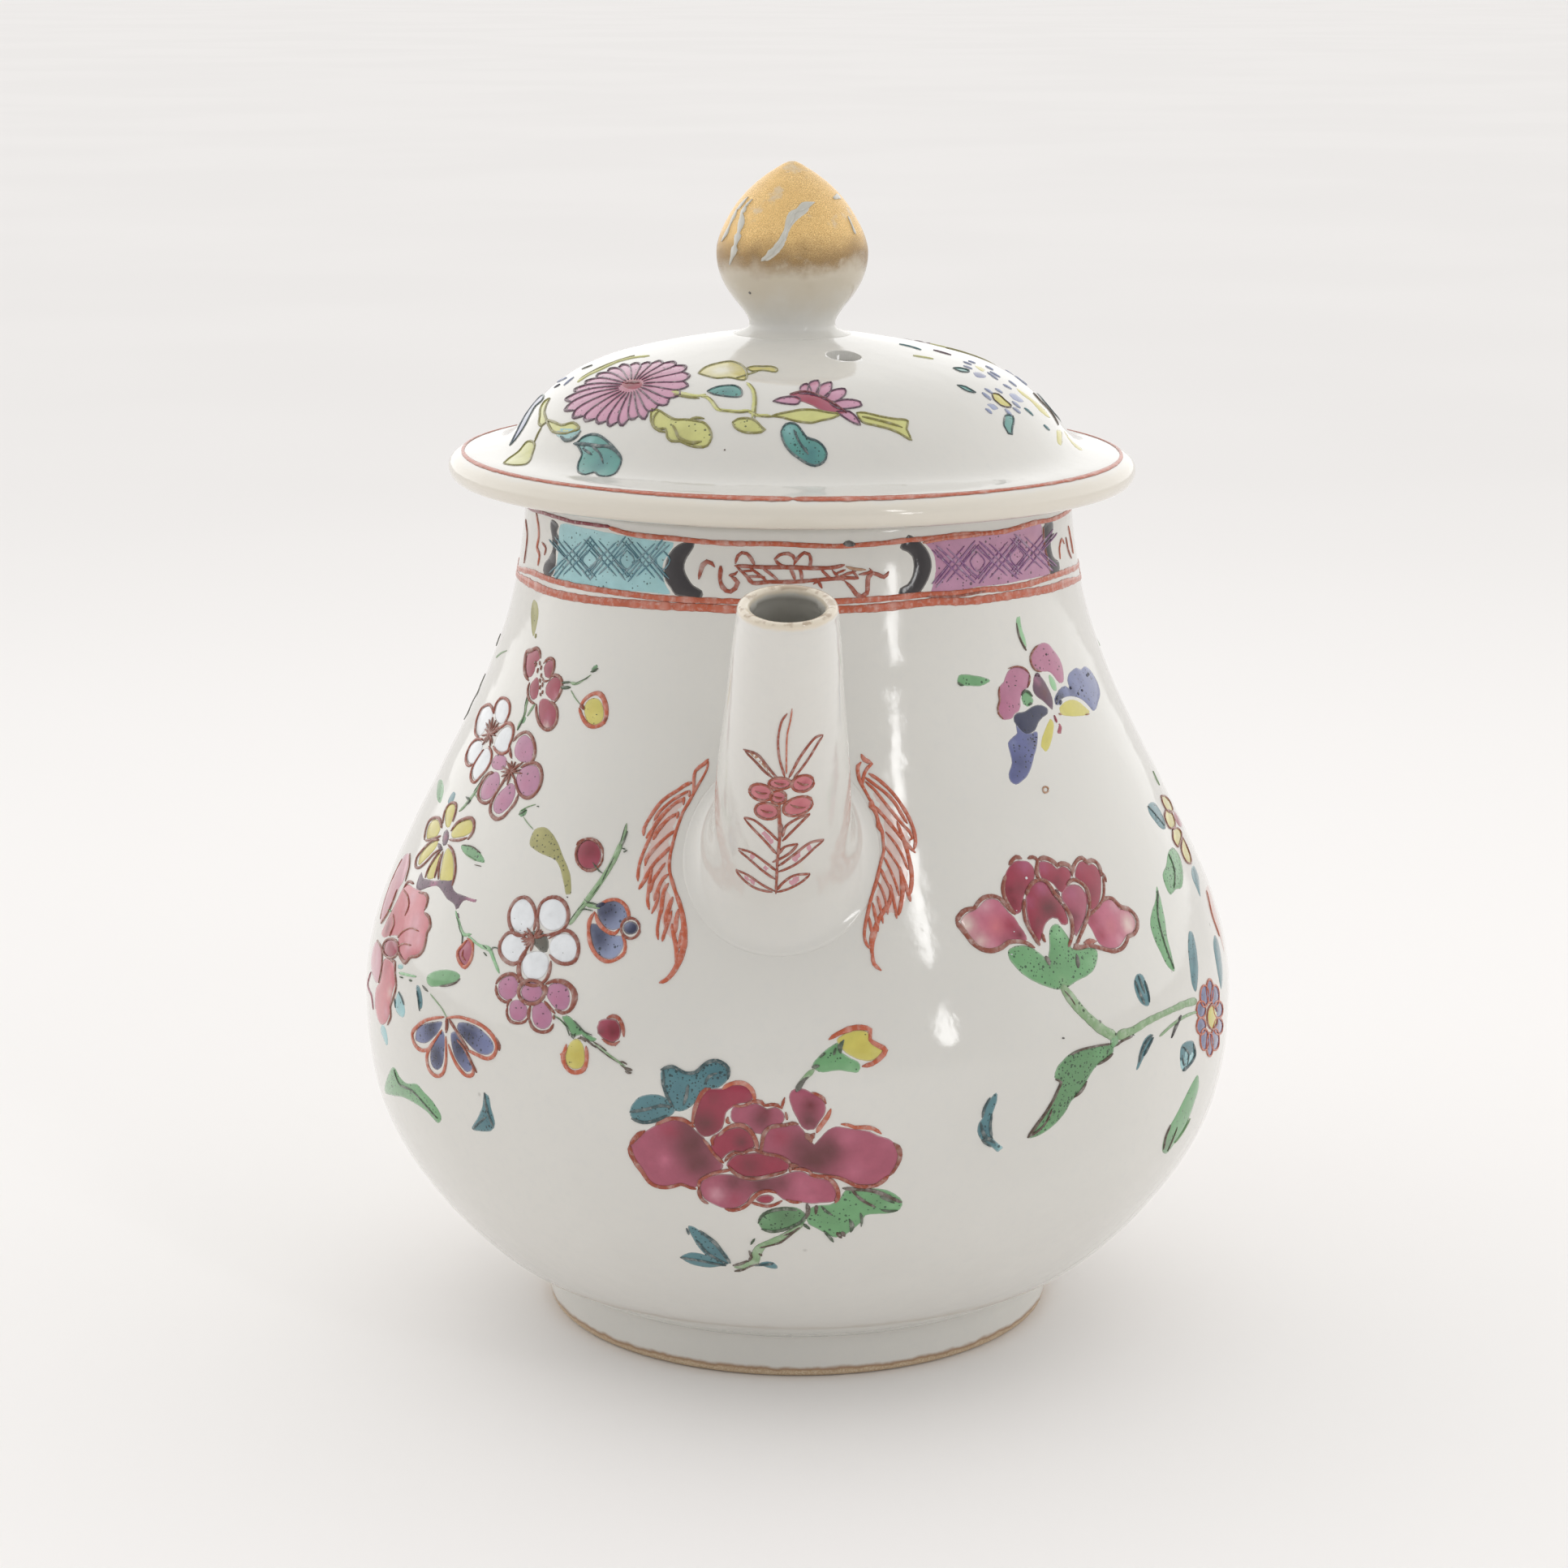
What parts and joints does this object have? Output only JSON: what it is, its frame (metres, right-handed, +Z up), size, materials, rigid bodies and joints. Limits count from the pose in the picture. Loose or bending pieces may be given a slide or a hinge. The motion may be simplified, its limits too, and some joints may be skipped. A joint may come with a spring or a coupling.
{
  "type": "teapot",
  "caption": "Small pear-shaped porcelain teapot with a straight spout, a loop handle, a foot ring and a domed lift-off cover with a bud-shaped knob.",
  "frame": {"origin": "on the pot's vertical axis, in the plane that the foot ring stands on; the spout and the handle reach equally far from it", "axes": "+Z up along the pot's axis, +Y towards the handle, -Y towards the spout, +X across the pot"},
  "size_m": [0.0916, 0.1345, 0.1203],
  "materials": {
    "body_glaze": "glossy blue-grey white glaze, enamel flowers",
    "foot_glaze": "glossy white glaze, unglazed brown edge underneath",
    "spout_glaze": "glossy white glaze, worn lip",
    "handle_glaze": "glossy white glaze",
    "lid_glaze": "glossy white glaze, enamel flowers",
    "bezel_bisque": "matt unglazed porcelain",
    "knob_gilding": "worn gilding over glaze"
  },
  "bodies": {
    "pot": {"pot_body": "body_glaze", "foot_ring": "foot_glaze", "spout": "spout_glaze", "handle": "handle_glaze"},
    "cover": {"lid": "lid_glaze", "lid_bezel": "bezel_bisque", "lid_knob": "knob_gilding"}
  },
  "joints": [
    {"name": "lid_lift", "type": "slide", "parent": "pot", "child": "cover", "axis": [0, 0, 1], "range_m": [0, 0.05]}
  ]
}
